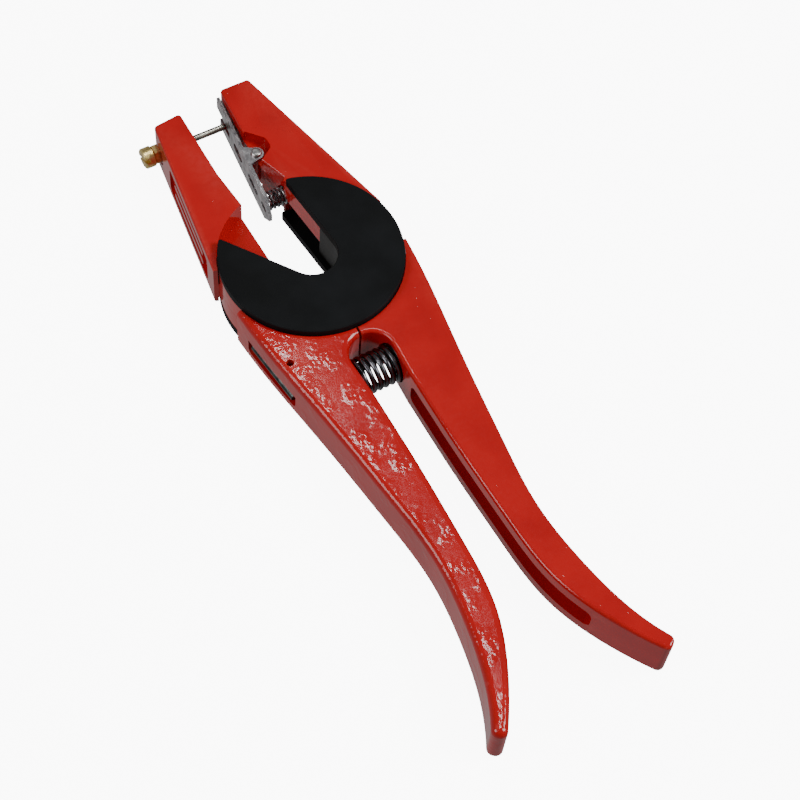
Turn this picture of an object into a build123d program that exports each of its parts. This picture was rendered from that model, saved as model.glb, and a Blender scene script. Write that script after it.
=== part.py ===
from build123d import *
import os
from math import cos, radians, sin, sqrt

os.makedirs("parts", exist_ok=True)

# Ear-tag applicator pliers, in millimetres.
# The tool lies on its rear side plate, +Z is its thickness and +Y points to the jaws.
# All outlines are drawn about the pivot axis, which stands at (0, HUB_Y) in the frame,
# so that the frame's origin is the middle of the tool's footprint.

# ---- driving dimensions ----
HUB_Y = 48.3            # pivot axis in front of the frame's origin
PLATE_R = 31.0          # radius of the two side plates
PLATE_REAR = 3.5        # thickness of the rear side plate
PLATE_FRONT = 3.0       # thickness of the front side plate
STACK = 22.2            # rear plate's outer face to front plate's outer face
TONGUE_TOP = STACK - PLATE_FRONT
BACK_Z = 1.3            # rear faces of the two castings
FACE_Z = 19.7           # front faces of the two castings
MID_Z = 10.5            # middle of the casting thickness
SPLIT_Z = 11.3          # height at which the two tongues lie on each other
SLIDE_GAP = 0.1         # clearance between faces that slide on each other
RECESS_R = 31.35        # round recesses in the castings around plates and tongues
TONGUE_R = 30.9         # outer radius of the two half-thickness tongues
THROAT_R = 8.8          # round end of the open throat
THROAT_R_REAR = 7.4     # the rear plate's throat is narrower
MOUTH_CORNER = 0.8      # rounded corners where the throat meets the plates' rim
PLATE_EDGE = 0.25       # chamfer of the plates' outer faces
BUSH_R = 12.0           # outside of the C-shaped pivot bush
RUN_FIT = 0.06          # running clearance of the moving casting on the bush
THROAT_SIDE = radians(5.4)    # lean of the throat's right side
THROAT_FLARE = radians(36)    # flare of the throat's left side
THROAT_REACH = 42             # length of the throat's sides, past the plates' rim
MOVING_SIDE_X = 10.2    # left side of the throat in the moving tongue
MOVING_FLARE_R = 9.9    # distance of the moving tongue's flared side from the pivot
SEAM = 0.4              # half the gap between the two handle shoulders
EDGE_R = 1.2            # rounding along the handles
SOFT_EDGE_R = 2.3       # heavier rounding around the front of the left handle
JAW_EDGE_R = 0.7        # rounding around the jaws

ARCH_R = 7.3            # arch between the handles that holds the main spring
ARCH_Y = -41.2
SPRING_Y = -43.6        # axis of the main spring, below the pivot
SPRING_R = 5.85         # mean radius of the main spring
SPRING_WIRE = 0.9       # its wire radius
SPRING_HALF = 10.6      # half its length between the bottoms of its seats
SPRING_TURNS = 8.5
SEAT_OPEN_X = 4.0       # where the cutter for a spring seat starts

NEEDLE_Y = 68.0         # needle axis in front of the pivot
NEEDLE_Z = 10.0         # needle axis above the rest face
NEEDLE_R = 1.15         # free shaft of the needle
NEEDLE_SHANK_R = 1.5    # its thicker shank inside the jaw
NEEDLE_SHANK_X = -12.4  # where the shank ends, flush with the jaw's inner wall
NEEDLE_TIP_X = 3.4      # point of the needle with the jaws closed
NEEDLE_POINT = 1.8      # length of its tapered point
NEEDLE_REAR_X = -25.0   # end of the needle inside its screw
SEAT_FACE_X = -23.3     # flat on the jaw under the lock nut
STEM_R = 2.4            # threaded stem of the needle screw
STEM_END_X = -15.0
NUT_T = 2.4
NUT_R = 3.6             # corner radius of the hexagonal lock nut
HEAD_T = 3.5
HEAD_R = 3.7            # slotted head of the needle screw

CLIP_X = 4.2            # rivet that the tag clip turns on
CLIP_Y = 48.0
CLIP_FACE_X = -0.05     # outer face of the clip beside its rivet
CLIP_TILT = radians(6.1)
CLIP_T = 1.1            # clip sheet thickness
CLIP_HALF = 6.2         # half the width of the clip sheet
RIVET_R = 1.0
RIVET_HEAD_R = 1.95
RIVET_HEAD_H = 1.1
LUG_R = 2.6             # lug of the jaw that carries the rivet
NOTCH_DEPTH = 4.3       # shallow notches in both faces of the jaw for the clip's ears

CLIP_SPRING_Y = 32.2    # axis of the clip spring
CLIP_SPRING_R = 2.9
CLIP_SPRING_WIRE = 0.45
CLIP_SPRING_TURNS = 5
CLIP_SPRING_END = 8.0   # bottom of the spring's seat in the jaw

WINDOW_Z = 8.15         # middle of the window in the left handle's outer wall
WINDOW_WIDE = 6.4
WINDOW_LONG = 26.6
WINDOW_Y = -28.1        # middle of the window, below the pivot
WALL_X = -29.6          # outer wall beside the middle of the window
WALL_LEAN = radians(6.5)
POCKET_DEPTH = 5.0
WALL_STEP = 2.0         # cutters of the window and the panel start this far outside the wall
WINDOW_CORNER = 2.0
SPARE_R = 1.5           # spare needle, lying in the front of the pocket
SPARE_IN = 1.6          # its axis behind the outer wall
SPARE_Z = 6.55
SPARE_TOP = 10.6        # its upper end above the middle of the window
SPARE_LONG = 23.6
SNUG_FIT = 0.03         # radial clearance of parts that are pressed or screwed home
PIN_HOLE = (-25.4, -33.2)
PIN_HOLE_R = 1.25


def level(z):
    """Drawing plane parallel to the rest face, with its origin on the pivot axis."""
    return Plane((0, HUB_Y, z))


def facing_x(x, y, z, direction=1):
    """Drawing plane whose normal is +X or -X, at a place given from the pivot axis."""
    return Plane((x, HUB_Y + y, z), x_dir=(0, 1, 0), z_dir=(direction, 0, 0))


# ---- the open throat ----
def throat_sketch(end_r):
    """Throat of the plates, the bush and the fixed tongue: a leaning right side and a
    flared left side, both tangent to the round end of radius end_r about the pivot."""
    right_in = (end_r * cos(THROAT_SIDE), end_r * sin(THROAT_SIDE))
    right_out = (right_in[0] - THROAT_REACH * sin(THROAT_SIDE),
                 right_in[1] + THROAT_REACH * cos(THROAT_SIDE))
    left_in = (-end_r * cos(THROAT_FLARE), -end_r * sin(THROAT_FLARE))
    left_out = (left_in[0] - THROAT_REACH * sin(THROAT_FLARE),
                left_in[1] + THROAT_REACH * cos(THROAT_FLARE))
    with BuildSketch(mode=Mode.PRIVATE) as throat:
        with BuildLine():
            Line(right_out, right_in)
            ThreePointArc(right_in, (0, -end_r), left_in)
            Polyline(left_in, left_out, right_out)
        make_face()
    return throat.sketch


def moving_throat_sketch():
    """Wedge left open in the moving tongue: its left side lines the throat, and its flared
    right side leaves room for the opening travel."""
    flare_in = (MOVING_FLARE_R * cos(THROAT_FLARE), -MOVING_FLARE_R * sin(THROAT_FLARE))
    flare_out = (flare_in[0] + THROAT_REACH * sin(THROAT_FLARE),
                 flare_in[1] + THROAT_REACH * cos(THROAT_FLARE))
    with BuildSketch(mode=Mode.PRIVATE) as wedge:
        with BuildLine():
            Polyline((-MOVING_SIDE_X, 0), (-MOVING_SIDE_X - 0.8, 36), flare_out, flare_in,
                     (0, -4), close=True)
        make_face()
    return wedge.sketch


throat = throat_sketch(THROAT_R)
rear_throat = throat_sketch(THROAT_R_REAR)
moving_throat = moving_throat_sketch()


# ---- side plates and pivot bush: fixed to the clip-jaw casting ----
SCREW_ANGLES = (-150, -90, -25)
SCREW_PITCH_R = 10.7
SCREW_R = 0.9
SCREW_HEAD_R = 1.6
SCREW_HEAD_H = 0.8
SCREW_CONE = 40         # half angle of the countersink
SCREW_END_Z = STACK - 1.0
SOCKET_R = 0.75
screw_places = [(SCREW_PITCH_R * cos(radians(a)), SCREW_PITCH_R * sin(radians(a)))
                for a in SCREW_ANGLES]


def plate_outline(opening):
    """Disc cut by a throat, with the two corners at its mouth rounded."""
    with BuildSketch(mode=Mode.PRIVATE) as outline:
        Circle(PLATE_R)
        add(opening, mode=Mode.SUBTRACT)
        fillet(outline.vertices().sort_by(Axis.Y)[-2:], MOUTH_CORNER)
    return outline.sketch


with BuildPart() as front_side_plate:
    with BuildSketch(level(TONGUE_TOP)):
        add(plate_outline(throat))
    extrude(amount=PLATE_FRONT)
    chamfer(front_side_plate.faces().sort_by(Axis.Z)[-1].edges(), PLATE_EDGE)
    with BuildSketch(level(TONGUE_TOP)):
        with Locations(*screw_places):
            Circle(SCREW_R)
    extrude(amount=SCREW_END_Z - TONGUE_TOP, mode=Mode.SUBTRACT)

with BuildPart() as rear_side_plate:
    with BuildSketch(level(0)):
        add(plate_outline(rear_throat))
    extrude(amount=PLATE_REAR)
    chamfer(rear_side_plate.faces().sort_by(Axis.Z)[0].edges(), PLATE_EDGE)
    with BuildSketch(level(0)):
        with Locations(*screw_places):
            Circle(SCREW_R)
    extrude(amount=PLATE_REAR, mode=Mode.SUBTRACT)
    with BuildSketch(level(0)):
        with Locations(*screw_places):
            Circle(SCREW_HEAD_R)
    extrude(amount=SCREW_HEAD_H, taper=SCREW_CONE, mode=Mode.SUBTRACT)

with BuildPart() as pivot_bush:
    with BuildSketch(level(PLATE_REAR)):
        Circle(BUSH_R)
        add(throat, mode=Mode.SUBTRACT)
        with Locations(*screw_places):
            Circle(SCREW_R, mode=Mode.SUBTRACT)
    extrude(amount=TONGUE_TOP - PLATE_REAR)

with BuildPart() as plate_screws:
    sunk = 0.05
    with BuildSketch(level(sunk)):
        with Locations(*screw_places):
            Circle(SCREW_HEAD_R - sunk)
    extrude(amount=SCREW_HEAD_H - sunk, taper=SCREW_CONE)
    with BuildSketch(level(SCREW_HEAD_H / 2)):
        with Locations(*screw_places):
            Circle(SCREW_R)
    extrude(amount=SCREW_END_Z - 2 * sunk - SCREW_HEAD_H / 2)
    with BuildSketch(level(sunk)):
        with Locations(*screw_places):
            RegularPolygon(SOCKET_R, 6)
    extrude(amount=0.6, mode=Mode.SUBTRACT)


# ---- bodies of the two castings before their pockets are cut ----
HANDLE_OUTER = [(31.7, -8.0), (29.9, -26.0), (25.6, -54.8), (20.9, -90.0), (18.8, -114.0),
                (20.9, -136.0), (27.2, -160.5), (32.2, -170.6)]
HANDLE_INNER = [(28.4, -173.9), (17.9, -157.0), (10.0, -137.0), (7.5, -112.0), (6.6, -80.0),
                (6.6, -55.0)]
CLIP_JAW = [(4.5, 76.3), (15.5, 76.3), (31.5, 9.4), (24, 7.1), (9, 18), (6.2, 31.6),
            (7.1, 32.6), (3.5, 43.1), (3.3, 57.6)]
NEEDLE_JAW = [(-12.3, 73.4), (-22.7, 72.2), (-31.4, 9.6), (-24, 7.1), (-12, 12),
              (-10.85, 29.5), (-12.3, 44.5)]
RIM_FROM = 33           # edges nearer to the pivot than this stay sharp, under the plates


def handle_body(front_r, corner_r):
    """The right handle at full thickness: spline edges, the arch and a squared end."""
    bend = ARCH_R / sqrt(2)
    with BuildPart(mode=Mode.PRIVATE) as body:
        with BuildSketch(level(BACK_Z)):
            with BuildLine():
                Spline(*HANDLE_OUTER)
                Line(HANDLE_OUTER[-1], HANDLE_INNER[0])
                Spline(*HANDLE_INNER)
                Line(HANDLE_INNER[-1], (ARCH_R, ARCH_Y))
                ThreePointArc((ARCH_R, ARCH_Y), (bend, ARCH_Y + bend), (SEAM, ARCH_Y + ARCH_R))
                Polyline((SEAM, ARCH_Y + ARCH_R), (SEAM, -20), (20, -8), HANDLE_OUTER[0])
            make_face()
        extrude(amount=FACE_Z - BACK_Z)
        fillet(body.edges().filter_by(Axis.Z).sort_by(Axis.Y)[0:2], corner_r)
        for face, radius in ((0, EDGE_R), (-1, front_r)):
            rims = body.faces().sort_by(Axis.Z)[face].edges()
            fillet(rims.filter_by(lambda e: e.center().Y < HUB_Y - RIM_FROM), radius)
    return body.part


def jaw_body(outline):
    """A jaw at full thickness with rounded tip corners and slightly rounded faces."""
    with BuildPart(mode=Mode.PRIVATE) as body:
        with BuildSketch(level(BACK_Z)):
            with BuildLine():
                Polyline(*outline, close=True)
            make_face()
        extrude(amount=FACE_Z - BACK_Z)
        fillet(body.edges().filter_by(Axis.Z).sort_by(Axis.Y)[-2:], 1.3)
        rims = body.faces().filter_by(Axis.Z).edges()
        fillet(rims.filter_by(lambda e: e.center().Y > HUB_Y + RIM_FROM), JAW_EDGE_R)
    return body.part


CHANNEL_Z0 = 6.2
CHANNEL_Z1 = 14.8
CHANNEL_ROUND = 2.6


def grip_channel():
    """Long pocket cored into the inner face of the right handle to save metal."""
    bottom = [(13.6, -56.0), (12.9, -80.0), (13.2, -112.0), (15.6, -135.0), (20.6, -149.0)]
    mouth = [(13.4, -152.5), (5.0, -137.0), (3.4, -112.0), (3.0, -80.0), (3.0, -56.0)]
    with BuildPart(mode=Mode.PRIVATE) as channel:
        with BuildSketch(level(CHANNEL_Z0)):
            with BuildLine():
                Spline(*bottom)
                Line(bottom[-1], mouth[0])
                Spline(*mouth)
                Line(mouth[-1], bottom[0])
            make_face()
        extrude(amount=CHANNEL_Z1 - CHANNEL_Z0)
        across = channel.edges().filter_by(GeomType.LINE).filter_by(Plane.XY)
        fillet(across, CHANNEL_ROUND)
    return channel.part


def spring_seat(side):
    """Round pocket in a handle's inner wall in which the main spring ends."""
    with BuildPart(mode=Mode.PRIVATE) as seat:
        with BuildSketch(facing_x(side * SEAT_OPEN_X, SPRING_Y, MID_Z, side)):
            Circle(SPRING_R + SPRING_WIRE + 0.35)
        extrude(amount=SPRING_HALF - SEAT_OPEN_X)
    return seat.part


right_handle = handle_body(EDGE_R, 2.2)
left_handle = mirror(handle_body(SOFT_EDGE_R, 2.4), about=Plane.YZ)
right_channel = grip_channel()
left_channel = mirror(right_channel, about=Plane.YZ)
clip_jaw = jaw_body(CLIP_JAW)
needle_jaw = jaw_body(NEEDLE_JAW)


# ---- casting with the clip jaw and the left handle ----
NOTCH = [(-3, 56.5), (4.0, 56.0), (9.0, 50.4), (9.2, 46.4), (3.9, 42.8), (-3, 42.8)]
wall_plane = Plane((WALL_X, HUB_Y + WINDOW_Y, WINDOW_Z),
                   x_dir=(sin(WALL_LEAN), -cos(WALL_LEAN), 0),
                   z_dir=(-cos(WALL_LEAN), -sin(WALL_LEAN), 0))
spare_plane = Plane(wall_plane.from_local_coords(Vector(-SPARE_TOP, 0, -SPARE_IN)),
                    z_dir=wall_plane.x_dir).move(Location((0, 0, SPARE_Z - WINDOW_Z)))

with BuildPart() as clip_jaw_lever:
    add(clip_jaw)
    add(left_handle)
    with BuildSketch(level(0)):
        Circle(RECESS_R)
    extrude(amount=SPLIT_Z + SLIDE_GAP / 2, mode=Mode.SUBTRACT)
    with BuildSketch(level(TONGUE_TOP)):
        Circle(RECESS_R)
    extrude(amount=PLATE_FRONT, mode=Mode.SUBTRACT)
    with BuildSketch(level(SPLIT_Z + SLIDE_GAP / 2)):
        Circle(TONGUE_R)
        add(throat, mode=Mode.SUBTRACT)
        Circle(BUSH_R, mode=Mode.SUBTRACT)
    extrude(amount=TONGUE_TOP - SPLIT_Z - SLIDE_GAP / 2)
    # notches on both faces for the clip's ears, and the lug between them
    with BuildSketch(level(FACE_Z - NOTCH_DEPTH), level(BACK_Z)) as notch:
        with BuildLine():
            Polyline(*NOTCH, close=True)
        make_face()
        fillet(notch.vertices().filter_by(lambda v: v.X > 8), 2.0)
    extrude(amount=NOTCH_DEPTH, mode=Mode.SUBTRACT)
    with BuildSketch(level(BACK_Z + NOTCH_DEPTH)):
        with Locations((CLIP_X, CLIP_Y)):
            Circle(LUG_R)
    extrude(amount=FACE_Z - BACK_Z - 2 * NOTCH_DEPTH)
    with BuildSketch(level(BACK_Z)):
        with Locations((CLIP_X, CLIP_Y)):
            Circle(RIVET_R)
    extrude(amount=FACE_Z - BACK_Z, mode=Mode.SUBTRACT)
    with BuildSketch(facing_x(CLIP_SPRING_END, CLIP_SPRING_Y, MID_Z, -1)):
        Circle(CLIP_SPRING_R + CLIP_SPRING_WIRE + 0.3)
    extrude(amount=CLIP_SPRING_END, mode=Mode.SUBTRACT)
    # inside of the left handle: spring seat and channel
    add(spring_seat(-1), mode=Mode.SUBTRACT)
    add(left_channel, mode=Mode.SUBTRACT)
    # window with the pocket of the spare needle, and the pin hole above it
    with BuildSketch(wall_plane.offset(WALL_STEP)) as window:
        Rectangle(WINDOW_LONG, WINDOW_WIDE)
        fillet(window.vertices().sort_by(Axis.Y)[0:2], WINDOW_CORNER)
    extrude(amount=-POCKET_DEPTH - WALL_STEP, mode=Mode.SUBTRACT)
    with BuildSketch(level(WINDOW_Z)):
        with Locations(PIN_HOLE):
            Circle(PIN_HOLE_R)
    extrude(amount=FACE_Z - WINDOW_Z, mode=Mode.SUBTRACT)


# ---- casting with the needle jaw and the right handle, turns on the bush ----
PANEL_MID = (-27.73, 36.0)
PANEL_LEAN = radians(7.9)
PANEL_LONG = 40.0
PANEL_WIDE = 12.0
PANEL_DEPTH = 0.9
PANEL_CORNER = 2.0
RIB_LONG = 30.0
RIB_WIDE = 2.4
panel_plane = Plane((PANEL_MID[0], HUB_Y + PANEL_MID[1], MID_Z),
                    x_dir=(sin(PANEL_LEAN), cos(PANEL_LEAN), 0),
                    z_dir=(-cos(PANEL_LEAN), sin(PANEL_LEAN), 0))

with BuildPart() as needle_jaw_lever:
    add(needle_jaw)
    add(right_handle)
    with BuildSketch(level(SPLIT_Z - SLIDE_GAP / 2)):
        Circle(RECESS_R)
    extrude(amount=FACE_Z - SPLIT_Z + SLIDE_GAP, mode=Mode.SUBTRACT)
    with BuildSketch(level(0)):
        Circle(RECESS_R)
    extrude(amount=PLATE_REAR + SLIDE_GAP, mode=Mode.SUBTRACT)
    with BuildSketch(level(PLATE_REAR + SLIDE_GAP)):
        Circle(TONGUE_R)
        add(moving_throat, mode=Mode.SUBTRACT)
        Circle(BUSH_R + RUN_FIT, mode=Mode.SUBTRACT)
    extrude(amount=SPLIT_Z - 1.5 * SLIDE_GAP - PLATE_REAR)
    # bore of the needle screw, its flat on the outside and the needle's way through
    with BuildSketch(facing_x(SEAT_FACE_X, NEEDLE_Y, NEEDLE_Z, -1)):
        Circle(HEAD_R + 0.7)
    extrude(amount=3, mode=Mode.SUBTRACT)
    with BuildSketch(facing_x(SEAT_FACE_X, NEEDLE_Y, NEEDLE_Z, 1)):
        Circle(STEM_R + SNUG_FIT)
    extrude(amount=STEM_END_X + 0.4 - SEAT_FACE_X, mode=Mode.SUBTRACT)
    with BuildSketch(facing_x(SEAT_FACE_X, NEEDLE_Y, NEEDLE_Z, 1)):
        Circle(NEEDLE_SHANK_R + SLIDE_GAP)
    extrude(amount=NEEDLE_TIP_X - SEAT_FACE_X, mode=Mode.SUBTRACT)
    # sunk panel with two plain ribs on the outer wall of the jaw
    with BuildSketch(panel_plane.offset(WALL_STEP)) as panel:
        Rectangle(PANEL_LONG, PANEL_WIDE)
        fillet(panel.vertices(), PANEL_CORNER)
    extrude(amount=-PANEL_DEPTH - WALL_STEP, mode=Mode.SUBTRACT)
    with BuildSketch(panel_plane.offset(-PANEL_DEPTH)):
        with GridLocations(0, 5.0, 1, 2):
            SlotOverall(RIB_LONG, RIB_WIDE)
    extrude(amount=PANEL_DEPTH - SLIDE_GAP)
    # inside of the right handle: spring seat and channel
    add(spring_seat(1), mode=Mode.SUBTRACT)
    add(right_channel, mode=Mode.SUBTRACT)


# ---- main spring between the handles ----
def coil_spring(start, length, mean_r, wire_r, turns):
    """Plain coil spring along +X between two flats, held off them by a hair."""
    run = length - 2 * wire_r - 0.1
    with BuildPart(mode=Mode.PRIVATE) as spring:
        with BuildLine() as coil:
            Helix(run / turns, run, mean_r, direction=(1, 0, 0),
                  center=(start[0] + wire_r + 0.05, HUB_Y + start[1], MID_Z))
        with BuildSketch(Plane(coil.line @ 0, z_dir=coil.line % 0)):
            Circle(wire_r)
        sweep(is_frenet=True)
    return spring.part


with BuildPart() as main_spring:
    add(coil_spring((-SPRING_HALF, SPRING_Y), 2 * SPRING_HALF, SPRING_R, SPRING_WIRE,
                    SPRING_TURNS))


# ---- needle with its screw and lock nut ----
with BuildPart() as needle:
    with BuildSketch(facing_x(NEEDLE_REAR_X, NEEDLE_Y, NEEDLE_Z)):
        Circle(NEEDLE_SHANK_R)
    extrude(amount=NEEDLE_SHANK_X - NEEDLE_REAR_X)
    with BuildSketch(facing_x(NEEDLE_SHANK_X, NEEDLE_Y, NEEDLE_Z)):
        Circle(NEEDLE_R)
    extrude(amount=NEEDLE_TIP_X - NEEDLE_POINT - NEEDLE_SHANK_X)
    with BuildSketch(facing_x(NEEDLE_TIP_X - NEEDLE_POINT, NEEDLE_Y, NEEDLE_Z)):
        Circle(NEEDLE_R)
    with BuildSketch(facing_x(NEEDLE_TIP_X, NEEDLE_Y, NEEDLE_Z)):
        Circle(0.45)
    loft()

HEAD_X = SEAT_FACE_X - NUT_T - 0.3

with BuildPart() as needle_screw:
    with BuildSketch(facing_x(STEM_END_X, NEEDLE_Y, NEEDLE_Z, -1)):
        Circle(STEM_R)
    extrude(amount=STEM_END_X - HEAD_X)
    with BuildSketch(facing_x(HEAD_X, NEEDLE_Y, NEEDLE_Z, -1)):
        Circle(HEAD_R)
    extrude(amount=HEAD_T)
    chamfer(needle_screw.faces().sort_by(Axis.X)[0].edges(), 0.4)
    with BuildSketch(facing_x(HEAD_X - HEAD_T, NEEDLE_Y, NEEDLE_Z, 1)):
        Rectangle(1.2, 2 * HEAD_R + 1, rotation=60)
    extrude(amount=1.6, mode=Mode.SUBTRACT)
    with BuildSketch(facing_x(STEM_END_X, NEEDLE_Y, NEEDLE_Z, -1)):
        Circle(NEEDLE_SHANK_R + SNUG_FIT)
    extrude(amount=STEM_END_X - NEEDLE_REAR_X + SLIDE_GAP, mode=Mode.SUBTRACT)

with BuildPart() as needle_locknut:
    with BuildSketch(facing_x(SEAT_FACE_X - 0.05, NEEDLE_Y, NEEDLE_Z, -1)):
        RegularPolygon(NUT_R, 6)
    extrude(amount=NUT_T)
    chamfer(needle_locknut.faces().sort_by(Axis.X)[0].edges(), 0.3)
    with BuildSketch(facing_x(SEAT_FACE_X, NEEDLE_Y, NEEDLE_Z, -1)):
        Circle(STEM_R + SNUG_FIT)
    extrude(amount=NUT_T + 1, mode=Mode.SUBTRACT)


# ---- tag clip with its rivet and spring, on the clip jaw ----
FORK_SLOT = (-2.0, 1.0)     # the needle's slot, across the sheet from its middle
FORK_SLOT_END = 15.5        # bottom of the slot above the rivet
FRONT_TINE = 27.9
REAR_TINE = 25.0
CLIP_SHOULDER = -17.5
CLIP_TIP = -22.6
clip_plane = Plane((CLIP_FACE_X, HUB_Y + CLIP_Y, MID_Z),
                   x_dir=(sin(CLIP_TILT), cos(CLIP_TILT), 0),
                   z_dir=(cos(CLIP_TILT), -sin(CLIP_TILT), 0))
EAR = [(-0.42, 44.6), (CLIP_X, CLIP_Y - LUG_R), (CLIP_X, CLIP_Y + LUG_R), (0.49, 53.2)]

with BuildPart() as clip_plate:
    with BuildSketch(clip_plane) as sheet:
        with BuildLine():
            Polyline((CLIP_SHOULDER, -CLIP_HALF), (REAR_TINE, -CLIP_HALF),
                     (REAR_TINE, FORK_SLOT[0]), (FORK_SLOT_END, FORK_SLOT[0]),
                     (FORK_SLOT_END, FORK_SLOT[1]), (FRONT_TINE, FORK_SLOT[1]),
                     (FRONT_TINE, CLIP_HALF), (CLIP_SHOULDER, CLIP_HALF),
                     (CLIP_TIP, 1.6), (CLIP_TIP, -1.6), close=True)
        make_face()
        corners = sheet.vertices()
        fillet(corners.filter_by(lambda v: v.Y > HUB_Y + CLIP_Y + 20), 1.6)
        fillet(sheet.vertices().filter_by(
            lambda v: abs(v.Y - HUB_Y - CLIP_Y - FORK_SLOT_END) < 1), 1.2)
        with Locations((7.3, 0)):
            SlotOverall(8.0, 3.4, mode=Mode.SUBTRACT)
        with Locations((-7.1, 0)):
            SlotOverall(9.0, 3.0, mode=Mode.SUBTRACT)
        with Locations((-17.2, 0)):
            SlotOverall(4.4, 2.4, mode=Mode.SUBTRACT)
    extrude(amount=CLIP_T)
    with BuildSketch(level(MID_Z + CLIP_HALF - CLIP_T), level(MID_Z - CLIP_HALF)):
        with BuildLine():
            Polyline(*EAR, close=True)
        make_face()
        with Locations((CLIP_X, CLIP_Y)):
            Circle(LUG_R)
            Circle(RIVET_R + SNUG_FIT, mode=Mode.SUBTRACT)
    extrude(amount=CLIP_T)

with BuildPart() as clip_rivet:
    under = CLIP_HALF + 0.05
    with BuildSketch(level(MID_Z - under)):
        with Locations((CLIP_X, CLIP_Y)):
            Circle(RIVET_R - SNUG_FIT)
    extrude(amount=2 * under)
    with BuildSketch(level(MID_Z + under), level(MID_Z - under - RIVET_HEAD_H)):
        with Locations((CLIP_X, CLIP_Y)):
            Circle(RIVET_HEAD_R)
    extrude(amount=RIVET_HEAD_H)
    fillet(clip_rivet.faces().sort_by(Axis.Z)[-1].edges(), 0.9)
    fillet(clip_rivet.faces().sort_by(Axis.Z)[0].edges(), 0.9)

CLIP_BACK_X = CLIP_FACE_X + CLIP_T / cos(CLIP_TILT) \
    + (CLIP_SPRING_Y - CLIP_Y + CLIP_SPRING_R) * sin(CLIP_TILT)

with BuildPart() as clip_spring:
    add(coil_spring((CLIP_BACK_X, CLIP_SPRING_Y), CLIP_SPRING_END - CLIP_BACK_X,
                    CLIP_SPRING_R, CLIP_SPRING_WIRE, CLIP_SPRING_TURNS))


# ---- spare needle in the left handle ----
with BuildPart() as spare_needle:
    with BuildSketch(spare_plane):
        Circle(SPARE_R)
    extrude(amount=SPARE_LONG)
    chamfer(spare_needle.faces().sort_by(Axis.Y)[-1].edges(), 0.4)


# ---- files ----
clip_jaw_lever.part.label = "clip_jaw_lever"
needle_jaw_lever.part.label = "needle_jaw_lever"
front_side_plate.part.label = "front_side_plate"
rear_side_plate.part.label = "rear_side_plate"
pivot_bush.part.label = "pivot_bush"
plate_screws.part.label = "plate_screws"
main_spring.part.label = "main_spring"
needle.part.label = "needle"
needle_screw.part.label = "needle_screw"
needle_locknut.part.label = "needle_locknut"
clip_plate.part.label = "clip_plate"
clip_rivet.part.label = "clip_rivet"
clip_spring.part.label = "clip_spring"
spare_needle.part.label = "spare_needle"

export_step(clip_jaw_lever.part, "parts/clip_jaw_lever.step")
export_step(needle_jaw_lever.part, "parts/needle_jaw_lever.step")
export_step(front_side_plate.part, "parts/front_side_plate.step")
export_step(rear_side_plate.part, "parts/rear_side_plate.step")
export_step(pivot_bush.part, "parts/pivot_bush.step")
export_step(plate_screws.part, "parts/plate_screws.step")
export_step(main_spring.part, "parts/main_spring.step")
export_step(needle.part, "parts/needle.step")
export_step(needle_screw.part, "parts/needle_screw.step")
export_step(needle_locknut.part, "parts/needle_locknut.step")
export_step(clip_plate.part, "parts/clip_plate.step")
export_step(clip_rivet.part, "parts/clip_rivet.step")
export_step(clip_spring.part, "parts/clip_spring.step")
export_step(spare_needle.part, "parts/spare_needle.step")
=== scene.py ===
import bpy
import numpy as np
from mathutils import Matrix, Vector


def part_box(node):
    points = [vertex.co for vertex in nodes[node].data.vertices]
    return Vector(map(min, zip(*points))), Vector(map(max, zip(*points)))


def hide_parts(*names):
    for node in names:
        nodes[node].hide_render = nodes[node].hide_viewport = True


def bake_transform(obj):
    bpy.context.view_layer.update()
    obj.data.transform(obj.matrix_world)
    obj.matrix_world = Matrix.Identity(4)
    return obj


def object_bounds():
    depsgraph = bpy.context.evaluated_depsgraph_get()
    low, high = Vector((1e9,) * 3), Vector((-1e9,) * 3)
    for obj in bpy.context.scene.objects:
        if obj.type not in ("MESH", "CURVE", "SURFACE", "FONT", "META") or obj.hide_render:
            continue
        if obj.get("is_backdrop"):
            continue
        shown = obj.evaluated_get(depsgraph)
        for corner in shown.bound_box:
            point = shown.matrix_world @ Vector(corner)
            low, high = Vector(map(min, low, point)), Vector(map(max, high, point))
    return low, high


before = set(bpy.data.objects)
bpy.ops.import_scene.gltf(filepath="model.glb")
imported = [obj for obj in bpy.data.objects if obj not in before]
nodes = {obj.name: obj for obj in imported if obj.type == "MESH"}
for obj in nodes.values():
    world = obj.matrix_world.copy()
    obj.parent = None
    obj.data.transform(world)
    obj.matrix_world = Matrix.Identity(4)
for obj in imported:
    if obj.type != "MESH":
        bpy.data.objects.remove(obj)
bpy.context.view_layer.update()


# ---- clip-jaw lever ----
# One pressure die casting in aluminium alloy: right jaw, front tongue and left handle. It is
# sprayed with a thick gloss red enamel that pools a little, so the faces show orange peel, and
# the sharp rims of jaw and window are thin enough for a paler line to show.
RED = "#B61414"
RED_DEEP = "#A81011"
RED_WORN = "#C03A34"
PEEL_MM = 1.5           # spacing of the orange peel
CLUMP_MM = 7.0          # spacing of the patches where the enamel has pooled
SAG_MM = 16.0           # spacing of the casting's own slow waviness
DUST_MM = 4.5           # spacing of the specks of dust caught in the enamel
CHIP_MM = 2.0           # grain of the paler wear along the rims
SHADE_RAMP = (0.25, 0.55)       # where the deeper red turns to the plain one
RIM_RAMP = (0.53, 0.60)         # how sharp an edge is before it wears
POOL_RAMP = (0.48, 0.66)        # how much of the face the pooled patches take
SPECK_RAMP = (0.03, 0.08)       # size of a dust speck, as a share of its cell
PEEL_BETWEEN = 0.1      # share of the peel left between the pooled patches
SAG_STRENGTH = 0.3
DUST_STRENGTH = 0.5
DUST_HIGH = 0.00008     # height of a speck, in metres
ENAMEL_IOR = 1.5
ENAMEL_ROUGHNESS = 0.1
THICK_PEEL = 0.00011    # depth of the peel in the thick coat, in metres
THICK_SAG = 0.0002      # depth of its waviness
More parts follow.
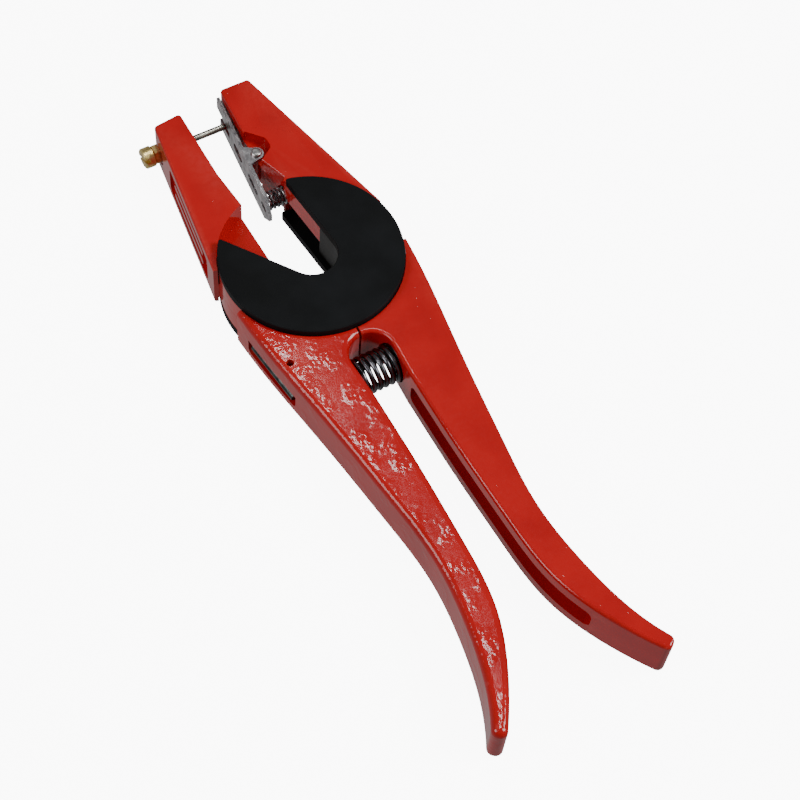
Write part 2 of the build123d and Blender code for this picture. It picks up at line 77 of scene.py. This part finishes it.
OFF = (0, 0, 0, 1)
ON = (1, 1, 1, 1)


def linear(code, alpha=1.0):
    """sRGB hex value as the linear colour that shaders take: each channel c becomes c / 12.92
    below 0.04045, and ((c + 0.055) / 1.055) to the power 2.4 above."""
    c = np.array([int(code[i:i + 2], 16) for i in (1, 3, 5)]) / 255
    c = np.where(c <= 0.04045, c / 12.92, ((c + 0.055) / 1.055) ** 2.4)
    return (*c.tolist(), alpha)


def per_mm(spacing):
    """Texture scale, in waves per metre, of a pattern that repeats every spacing millimetres."""
    return 1000.0 / spacing


def add(tree, kind, at=None, **links):
    """Adds a shader node. at holds its settings: a property by name, or a socket by index or
    name with its value. links names a socket, or i and its index, and the output feeding it."""
    made = tree.nodes.new(kind)
    for key, value in (at or {}).items():
        if isinstance(key, str) and hasattr(made, key):
            setattr(made, key, value)
        else:
            made.inputs[key].default_value = value
    for key, source in links.items():
        place = int(key[1:]) if key[1:].isdigit() else key.replace("_", " ")
        tree.links.new(source, made.inputs[place])
    return made


def new_material(name):
    """Empty material with its output node; returns material, tree and output."""
    made = bpy.data.materials.new(name)
    made.use_nodes = True
    made.node_tree.nodes.clear()
    return made, made.node_tree, made.node_tree.nodes.new("ShaderNodeOutputMaterial")


def ramp(tree, source, low, high, low_at, high_at):
    """Colour ramp between two colours at two places, fed by source."""
    made = add(tree, "ShaderNodeValToRGB", i0=source)
    made.color_ramp.elements[0].position = low_at
    made.color_ramp.elements[0].color = low
    made.color_ramp.elements[1].position = high_at
    made.color_ramp.elements[1].color = high
    return made.outputs[0]


def red_enamel(name, peel, gloss, sag):
    """Gloss enamel over a die casting. peel is the depth of the orange peel in metres, sag that
    of the slow waviness, gloss the roughness of the enamel. The peel fades out between the
    patches where the enamel has pooled."""
    made, tree, out = new_material(name)
    where = add(tree, "ShaderNodeTexCoord").outputs["Object"]
    cloud = add(tree, "ShaderNodeTexNoise", {"Scale": per_mm(SAG_MM), "Detail": 3.0},
                Vector=where)
    colour = ramp(tree, cloud.outputs[0], linear(RED_DEEP), linear(RED), *SHADE_RAMP)
    point = add(tree, "ShaderNodeNewGeometry").outputs["Pointiness"]
    rim = ramp(tree, point, OFF, ON, *RIM_RAMP)
    grain = add(tree, "ShaderNodeTexNoise", {"Scale": per_mm(CHIP_MM), "Detail": 4.0},
                Vector=where)
    worn = add(tree, "ShaderNodeMath", {"operation": "MULTIPLY"}, i0=rim,
               i1=grain.outputs[0])
    paint = add(tree, "ShaderNodeMix", {"data_type": "RGBA", 7: linear(RED_WORN)},
                i0=worn.outputs[0], i6=colour)
    peel_noise = add(tree, "ShaderNodeTexNoise",
                     {"Scale": per_mm(PEEL_MM), "Detail": 1.5, "Roughness": 0.4}, Vector=where)
    dust = add(tree, "ShaderNodeTexVoronoi",
               {"feature": "F1", "Scale": per_mm(DUST_MM), "Randomness": 1.0}, Vector=where)
    speck = ramp(tree, dust.outputs["Distance"], ON, OFF, *SPECK_RAMP)
    pool = add(tree, "ShaderNodeTexNoise", {"Scale": per_mm(CLUMP_MM), "Detail": 2.0},
               Vector=where)
    pooled = ramp(tree, pool.outputs[0], (*[PEEL_BETWEEN] * 3, 1), ON, *POOL_RAMP)
    relief = add(tree, "ShaderNodeMath", {"operation": "MULTIPLY"}, i0=pooled,
                 i1=peel_noise.outputs[0])
    slow = add(tree, "ShaderNodeBump", {"Strength": SAG_STRENGTH, "Distance": sag},
               Height=cloud.outputs[0])
    fine = add(tree, "ShaderNodeBump", {"Strength": 1.0, "Distance": peel},
               Height=relief.outputs[0], Normal=slow.outputs[0])
    dots = add(tree, "ShaderNodeBump", {"Strength": DUST_STRENGTH, "Distance": DUST_HIGH},
               Height=speck, Normal=fine.outputs[0])
    rough = add(tree, "ShaderNodeMapRange", {3: gloss - 0.03, 4: gloss + 0.05},
                i0=peel_noise.outputs[0])
    shader = add(tree, "ShaderNodeBsdfPrincipled",
                 {"IOR": ENAMEL_IOR},
                 Base_Color=paint.outputs[2], Roughness=rough.outputs[0],
                 Normal=dots.outputs[0])
    tree.links.new(shader.outputs[0], out.inputs[0])
    return made


def finish_node(name, material):
    """Gives the CAD node its finish."""
    for place in nodes[name].material_slots:
        place.material = material


finish_node("clip_jaw_lever", red_enamel("red_enamel_thick_coat", THICK_PEEL, ENAMEL_ROUGHNESS,
                                         THICK_SAG))


# ---- needle-jaw lever ----
# The second aluminium casting, crossing the first in a half-lap joint: left jaw, rear tongue and
# right handle. It has the same red enamel in a thinner, smoother coat.
THIN_PEEL = 0.000015
THIN_SAG = 0.00004
finish_node("needle_jaw_lever", red_enamel("red_enamel_thin_coat", THIN_PEEL, ENAMEL_ROUGHNESS,
                                           THIN_SAG))


# ---- side plates ----
# Two C-shaped discs blanked from 3 mm steel plate and given a matte black powder coat, which
# leaves a fine even grain and a slightly greyer bloom where it has been handled.
BLACK = "#0E0F10"
BLACK_WORN = "#17181A"
POWDER_MM = 0.45        # grain of the powder coat
HAZE_MM = 14.0          # spacing of the handled patches
HAZE_RAMP = (0.35, 0.75)
POWDER_STRENGTH = 0.8
POWDER_HIGH = 0.00004   # height of the grain, in metres
POWDER_IOR = 1.45
POWDER_SPECULAR = 0.12
POWDER_ROUGHNESS = (0.5, 0.68)


def black_powder_coat():
    """Matte powder coat: fine noise in the normals and slow haze in colour and roughness."""
    made, tree, out = new_material("black_powder_coat")
    where = add(tree, "ShaderNodeTexCoord").outputs["Object"]
    haze = add(tree, "ShaderNodeTexNoise", {"Scale": per_mm(HAZE_MM), "Detail": 5.0},
               Vector=where)
    colour = ramp(tree, haze.outputs[0], linear(BLACK), linear(BLACK_WORN), *HAZE_RAMP)
    grain = add(tree, "ShaderNodeTexNoise",
                {"Scale": per_mm(POWDER_MM), "Detail": 2.0, "Roughness": 0.6}, Vector=where)
    bump = add(tree, "ShaderNodeBump", {"Strength": POWDER_STRENGTH, "Distance": POWDER_HIGH},
               Height=grain.outputs[0])
    rough = add(tree, "ShaderNodeMapRange", {3: POWDER_ROUGHNESS[0], 4: POWDER_ROUGHNESS[1]},
                i0=haze.outputs[0])
    shader = add(tree, "ShaderNodeBsdfPrincipled",
                 {"IOR": POWDER_IOR, "Specular IOR Level": POWDER_SPECULAR},
                 Base_Color=colour, Roughness=rough.outputs[0], Normal=bump.outputs[0])
    tree.links.new(shader.outputs[0], out.inputs[0])
    return made


powder = black_powder_coat()
finish_node("front_side_plate", powder)
finish_node("rear_side_plate", powder)


# ---- pivot bush and plate screws ----
# The C-shaped bush is turned steel, blackened and oiled; the countersunk screws that draw the
# plates onto it are blackened the same way.
BUSH_DARK = "#0A0A0A"
BUSH_BROWN = "#181512"
TURNING_MM = 0.5        # feed of the turning marks
WAVE_RINGS = 20         # rings that a wave texture draws in one unit of its scale
OXIDE_MM = 5.0          # spacing of the brown patches in the oxide
OXIDE_RAMP = (0.35, 0.7)
TURNING_STRENGTH = 0.3
TURNING_DEEP = 0.00003  # depth of the turning marks, in metres
OXIDE_METALLIC = 0.8
OXIDE_ROUGHNESS = 0.4


def blackened_steel():
    """Oiled black oxide on turned steel: dark metal with faint rings along the axis."""
    made, tree, out = new_material("blackened_turned_steel")
    where = add(tree, "ShaderNodeTexCoord").outputs["Object"]
    patch = add(tree, "ShaderNodeTexNoise", {"Scale": per_mm(OXIDE_MM), "Detail": 4.0},
                Vector=where)
    colour = ramp(tree, patch.outputs[0], linear(BUSH_DARK), linear(BUSH_BROWN), *OXIDE_RAMP)
    rings = add(tree, "ShaderNodeTexWave",
                {"wave_type": "BANDS", "bands_direction": "Z",
                 "Scale": per_mm(TURNING_MM) / WAVE_RINGS, "Distortion": 0.4}, Vector=where)
    bump = add(tree, "ShaderNodeBump", {"Strength": TURNING_STRENGTH, "Distance": TURNING_DEEP},
               Height=rings.outputs[0])
    shader = add(tree, "ShaderNodeBsdfPrincipled",
                 {"Metallic": OXIDE_METALLIC, "Roughness": OXIDE_ROUGHNESS},
                 Base_Color=colour, Normal=bump.outputs[0])
    tree.links.new(shader.outputs[0], out.inputs[0])
    return made


black_oxide = blackened_steel()
finish_node("pivot_bush", black_oxide)
finish_node("plate_screws", black_oxide)


# ---- main spring ----
# Compression spring coiled from 1.8 mm plated spring wire with closed and ground end turns. It
# sits in round pockets in both handles and bows as they open.
WIRE_DARK = "#2C2B2E"
WIRE_LIGHT = "#77767B"
WIRE_R = 0.0009
COIL_R = 0.00585
COIL_TURNS = 9.0
CLOSED_TURNS = 1.0      # turns at each end that lie against their neighbour
COIL_STEPS = 72         # points along one turn
WIRE_SIDES = 20
CLOSE_PITCH = 2.05      # advance of a closed turn, in wire radii
GROUND_OFF = 0.55       # how far the end turns reach past the ground face, in wire radii
COIL_START = 1.9        # angle at which the wire starts, in radians
SMOKE_MM = 4.0          # spacing of the smoky patches in the plating
SMOKE_RAMP = (0.3, 0.7)
DRAWN_MM = 0.35         # spacing of the drawing marks
DRAWN_STRENGTH = 0.25
DRAWN_DEEP = 0.00002
WIRE_ROUGHNESS = (0.14, 0.32)


def grid_mesh(name, points, closed_u=False, closed_v=True, capped=False):
    """Mesh of a grid of points [u, v, xyz]: each cell becomes a quad, with the last row or
    column joined to the first where closed, and the end rows filled where capped."""
    nu, nv = points.shape[:2]
    index = np.arange(nu * nv).reshape(nu, nv)
    u = index if closed_u else index[:-1]
    u_next = np.roll(index, -1, 0) if closed_u else index[1:]
    v_next, v_next_u = np.roll(u, -1, 1), np.roll(u_next, -1, 1)
    if not closed_v:
        u, u_next = u[:, :-1], u_next[:, :-1]
        v_next, v_next_u = v_next[:, :-1], v_next_u[:, :-1]
    quads = np.stack([u, v_next, v_next_u, u_next], -1).reshape(-1, 4).tolist()
    if capped:
        quads += [index[0][::-1].tolist(), index[-1].tolist()]
    data = bpy.data.meshes.new(name)
    data.from_pydata(points.reshape(-1, 3).tolist(), [], quads)
    data.polygons.foreach_set("use_smooth", [True] * len(data.polygons))
    data.update()
    made = bpy.data.objects.new(name, data)
    bpy.context.collection.objects.link(made)
    return made


def coil_points(centre, half_length, coil_r, wire_r, turns, phase):
    """Wire of a closed-end spring along X. The wire's middle runs round the axis at coil_r; it
    advances one wire's thickness a turn over the closed turns, an even pitch between, and the
    two paces are blended. The wire's section is a circle across the path, and its ends are cut
    flat at plus and minus half_length, as by grinding."""
    t = np.linspace(0, turns, int(turns * COIL_STEPS))
    reach = half_length - wire_r * GROUND_OFF
    near = np.clip(t / CLOSED_TURNS, 0, 1) * np.clip((turns - t) / CLOSED_TURNS, 0, 1)
    pace = near * near * (3 - 2 * near)
    free = np.cumsum(pace)
    close = CLOSE_PITCH * wire_r * t
    open_length = 2 * reach - close[-1]
    along = -reach + close + open_length * (free - free[0]) / (free[-1] - free[0])
    angle = 2 * np.pi * t + phase
    radial = np.stack([np.zeros_like(t), np.cos(angle), np.sin(angle)], -1)
    path = coil_r * radial + np.array(centre)
    path[:, 0] += along
    tangent = np.gradient(path, axis=0)
    tangent /= np.linalg.norm(tangent, axis=1, keepdims=True)
    across = np.cross(tangent, radial)
    v = np.linspace(0, 2 * np.pi, WIRE_SIDES, endpoint=False)
    ring = (np.cos(v)[None, :, None] * radial[:, None] + np.sin(v)[None, :, None]
            * across[:, None])
    points = path[:, None] + wire_r * ring
    points[..., 0] = np.clip(points[..., 0], centre[0] - half_length, centre[0] + half_length)
    return points


def plated_wire(name, dark, light):
    """Plated spring wire: dark metal with faint drawing marks and a smoky variation."""
    made, tree, out = new_material(name)
    where = add(tree, "ShaderNodeTexCoord").outputs["Object"]
    smoke = add(tree, "ShaderNodeTexNoise", {"Scale": per_mm(SMOKE_MM), "Detail": 4.0},
                Vector=where)
    colour = ramp(tree, smoke.outputs[0], linear(dark), linear(light), *SMOKE_RAMP)
    drawn = add(tree, "ShaderNodeTexNoise", {"Scale": per_mm(DRAWN_MM), "Detail": 2.0},
                Vector=where)
    rough = add(tree, "ShaderNodeMapRange", {3: WIRE_ROUGHNESS[0], 4: WIRE_ROUGHNESS[1]},
                i0=drawn.outputs[0])
    bump = add(tree, "ShaderNodeBump", {"Strength": DRAWN_STRENGTH, "Distance": DRAWN_DEEP},
               Height=drawn.outputs[0])
    shader = add(tree, "ShaderNodeBsdfPrincipled", {"Metallic": 1.0},
                 Base_Color=colour, Roughness=rough.outputs[0], Normal=bump.outputs[0])
    tree.links.new(shader.outputs[0], out.inputs[0])
    return made


low, high = (np.array(c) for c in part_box("main_spring"))
middle, half = (low + high) / 2, (high - low) / 2
spring = grid_mesh("handle_spring",
                   coil_points(middle, half[0], COIL_R, WIRE_R, COIL_TURNS, COIL_START),
                   capped=True)
spring.data.materials.append(plated_wire("chrome_plated_spring_wire", WIRE_DARK, WIRE_LIGHT))
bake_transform(spring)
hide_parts("main_spring")


# ---- needle ----
# Hardened steel needle, ground and polished, with a bevelled point. Its thicker shank is held
# in the brass screw and carries the male half of a tag on its free length.
STEEL_WARM = "#B9B5A8"
STEEL_SHADE = "#8D8A80"
TONE_MM = 3.0           # spacing of the steel's change of tone
TONE_RAMP = (0.3, 0.65)
SMOOTHER = 0.06         # roughness below and above the middle one, along the marks
ROUGHER = 0.1
MARK_STRENGTH = 0.3
MARK_DEEP = 0.00002     # depth of the grinding marks, in metres
NEEDLE_ROUGHNESS = 0.22
NEEDLE_MARK_MM = 0.4


def polished_steel(name, dark, light, roughness, mark_mm):
    """Ground and polished steel: metal with grinding marks of mark_mm round the piece."""
    made, tree, out = new_material(name)
    where = add(tree, "ShaderNodeTexCoord").outputs["Object"]
    tone = add(tree, "ShaderNodeTexNoise", {"Scale": per_mm(TONE_MM), "Detail": 5.0},
               Vector=where)
    colour = ramp(tree, tone.outputs[0], linear(dark), linear(light), *TONE_RAMP)
    marks = add(tree, "ShaderNodeTexNoise", {"Scale": per_mm(mark_mm), "Detail": 3.0},
                Vector=where)
    rough = add(tree, "ShaderNodeMapRange", {3: roughness - SMOOTHER, 4: roughness + ROUGHER},
                i0=marks.outputs[0])
    bump = add(tree, "ShaderNodeBump", {"Strength": MARK_STRENGTH, "Distance": MARK_DEEP},
               Height=marks.outputs[0])
    shader = add(tree, "ShaderNodeBsdfPrincipled", {"Metallic": 1.0},
                 Base_Color=colour, Roughness=rough.outputs[0], Normal=bump.outputs[0])
    tree.links.new(shader.outputs[0], out.inputs[0])
    return made


finish_node("needle", polished_steel("polished_needle_steel", STEEL_SHADE, STEEL_WARM,
                                     NEEDLE_ROUGHNESS, NEEDLE_MARK_MM))


# ---- needle screw and lock nut ----
# Both are turned and milled from free-cutting brass bar and have dulled to a brown gold. The
# screw's slotted head and the hexagonal nut lock the needle's reach against the jaw.
BRASS = "#F5DC94"
BRASS_DULL = "#C9A85C"
DULL_MM = 2.5           # spacing of the dulled patches
DULL_RAMP = (0.25, 0.6)
FEED_MM = 0.3           # feed of the turning
FEED_STRENGTH = 0.4
FEED_DEEP = 0.00003
BRASS_ROUGHNESS = (0.2, 0.42)


def dull_brass():
    """Machined brass: metal with a fine noise of turning marks and brown patches."""
    made, tree, out = new_material("machined_brass")
    where = add(tree, "ShaderNodeTexCoord").outputs["Object"]
    patch = add(tree, "ShaderNodeTexNoise", {"Scale": per_mm(DULL_MM), "Detail": 5.0},
                Vector=where)
    colour = ramp(tree, patch.outputs[0], linear(BRASS_DULL), linear(BRASS), *DULL_RAMP)
    feed = add(tree, "ShaderNodeTexNoise", {"Scale": per_mm(FEED_MM), "Detail": 3.0},
               Vector=where)
    rough = add(tree, "ShaderNodeMapRange", {3: BRASS_ROUGHNESS[0], 4: BRASS_ROUGHNESS[1]},
                i0=feed.outputs[0])
    bump = add(tree, "ShaderNodeBump", {"Strength": FEED_STRENGTH, "Distance": FEED_DEEP},
               Height=feed.outputs[0])
    shader = add(tree, "ShaderNodeBsdfPrincipled", {"Metallic": 1.0},
                 Base_Color=colour, Roughness=rough.outputs[0], Normal=bump.outputs[0])
    tree.links.new(shader.outputs[0], out.inputs[0])
    return made


brass = dull_brass()
finish_node("needle_screw", brass)
finish_node("needle_locknut", brass)


# ---- tag clip, rivet and clip spring ----
# The clip is pierced and folded from 1.1 mm stainless sheet and tumbled, so it is satin with
# brighter edges. A plain steel rivet is its pivot, and a small coil spring behind its lower end
# keeps the fork against the jaw.
CLIP_GREY = "#8B898C"
CLIP_BRIGHT = "#D2D0D2"
SMALL_WIRE_R = 0.00045
SMALL_COIL_R = 0.0029
SMALL_TURNS = 5.5
SMALL_START = 0.6       # angle at which the small wire starts, in radians
SHEET_ROUGHNESS = 0.3
TUMBLE_MM = 0.5         # spacing of the tumbling marks
RIVET_ROUGHNESS = 0.28
HEADING_MM = 0.6        # spacing of the marks left by heading the rivet

finish_node("clip_plate", polished_steel("tumbled_stainless_sheet", CLIP_GREY, CLIP_BRIGHT,
                                         SHEET_ROUGHNESS, TUMBLE_MM))
finish_node("clip_rivet", polished_steel("headed_rivet_steel", STEEL_SHADE, CLIP_BRIGHT,
                                         RIVET_ROUGHNESS, HEADING_MM))
low, high = (np.array(c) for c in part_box("clip_spring"))
middle, half = (low + high) / 2, (high - low) / 2
clip_spring = grid_mesh("tag_clip_spring",
                        coil_points(middle, half[0], SMALL_COIL_R, SMALL_WIRE_R, SMALL_TURNS,
                                    SMALL_START), capped=True)
clip_spring.data.materials.append(plated_wire("plated_clip_spring_wire", WIRE_DARK,
                                              CLIP_BRIGHT))
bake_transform(clip_spring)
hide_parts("clip_spring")


# ---- spare needle ----
# A second needle kept in the left handle, left dark from tempering.
TEMPER = "#2E3433"
TEMPER_LIGHT = "#565D5B"
TEMPER_ROUGHNESS = 0.3
finish_node("spare_needle", polished_steel("tempered_needle_steel", TEMPER, TEMPER_LIGHT,
                                           TEMPER_ROUGHNESS, NEEDLE_MARK_MM))


# ---- floor, light and camera ----
# Plain white table that runs out past the view, light from beneath that is stronger than the
# room's, a panel on each side and a narrow strip that glints on the left handle. The camera
# stands above the left side of the handles.
FLOOR = "#F4F4F4"
FLOOR_HALF = 3.0
FLOOR_Z = -0.0002       # just under the tool, so that the two never share a plane
FLOOR_GLOW = 9.0        # the table is lit from within, as a light table
SKY_ABOVE = 0.2         # brightness of the room over the tool
SKY_BELOW = 0.4         # and of the white table's own light from beneath
SKY_TILT = (0.5, -0.7, 1.0)     # the light from beneath is strongest on the far left
SKY_RAMP = (-1.2, 0.1)  # heights along the tilt between which it fades to the room's


def plain_white():
    """Matte white board."""
    made, tree, out = new_material("white_table")
    where = add(tree, "ShaderNodeTexCoord").outputs["Object"]
    noise = add(tree, "ShaderNodeTexNoise", {"Scale": per_mm(2.0)}, Vector=where)
    bump = add(tree, "ShaderNodeBump", {"Strength": 0.05, "Distance": 0.0001},
               Height=noise.outputs[0])
    shader = add(tree, "ShaderNodeBsdfPrincipled",
                 {"Roughness": 0.9, "Base Color": linear(FLOOR), "Specular IOR Level": 0.0,
                  "Emission Color": (1, 1, 1, 1), "Emission Strength": FLOOR_GLOW},
                 Normal=bump.outputs[0])
    tree.links.new(shader.outputs[0], out.inputs[0])
    return made


sides = np.linspace(-FLOOR_HALF, FLOOR_HALF, 3)
floor_x, floor_y = np.meshgrid(sides, sides, indexing="ij")
floor = grid_mesh("table", np.stack([floor_x, floor_y, 0 * floor_x + FLOOR_Z], -1),
                  closed_v=False)
floor.data.flip_normals()
floor.data.materials.append(plain_white())
floor.visible_diffuse = False
floor.visible_glossy = False
floor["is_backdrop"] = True

world = bpy.data.worlds.new("studio")
world.use_nodes = True
sky = world.node_tree
heading = add(sky, "ShaderNodeTexCoord").outputs["Generated"]
rise = add(sky, "ShaderNodeVectorMath", {"operation": "DOT_PRODUCT", 1: SKY_TILT},
           i0=heading).outputs["Value"]
glow = add(sky, "ShaderNodeMapRange", {1: SKY_RAMP[0], 2: SKY_RAMP[1], 3: SKY_BELOW,
                                      4: SKY_ABOVE}, i0=rise)
sky.nodes["Background"].inputs[0].default_value = (1, 1, 1, 1)
sky.links.new(glow.outputs[0], sky.nodes["Background"].inputs[1])
bpy.context.scene.world = world


def panel(name, place, target, width, height, power):
    """Rectangular area light at place, facing target, its height along Y."""
    data = bpy.data.lights.new(name, "AREA")
    data.shape = "RECTANGLE"
    data.size = width
    data.size_y = height
    data.energy = power
    made = bpy.data.objects.new(name, data)
    back = np.array(place) - np.array(target)
    back = back / np.linalg.norm(back)
    side = np.cross([0.0, 1.0, 0.01], back)
    side /= np.linalg.norm(side)
    turn = np.stack([side, np.cross(back, side), back], 1)
    made.matrix_world = Matrix.Translation(place) @ Matrix(turn.tolist()).to_4x4()
    bpy.context.collection.objects.link(made)


panel("glint_strip", place=(0.125, 0.17, 0.64), target=(-0.02, -0.06, 0.02), width=0.02,
      height=0.34, power=0.7)
panel("left_panel", place=(-0.9, 0.1, 0.7), target=(0, 0, 0), width=0.6, height=0.6,
      power=6.0)
panel("right_panel", place=(0.8, -0.5, 0.9), target=(0, 0, 0), width=0.6, height=0.6,
      power=15.0)

CAMERA_AT = (-0.17206, -0.25957, 0.53697)
CAMERA_AXES = ((0.86975797, 0.40208195, -0.28609646),
               (-0.49051977, 0.76781336, -0.41213226),
               (0.05395774, 0.49879128, 0.86504093))
lens = bpy.data.cameras.new("view_camera")
lens.lens = 84.905
lens.sensor_width = 36.0
lens.clip_start = 0.01
camera = bpy.data.objects.new("view_camera", lens)
camera.matrix_world = Matrix.Translation(CAMERA_AT) @ Matrix(CAMERA_AXES).to_4x4()
bpy.context.collection.objects.link(camera)
bpy.context.scene.camera = camera

low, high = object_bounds()
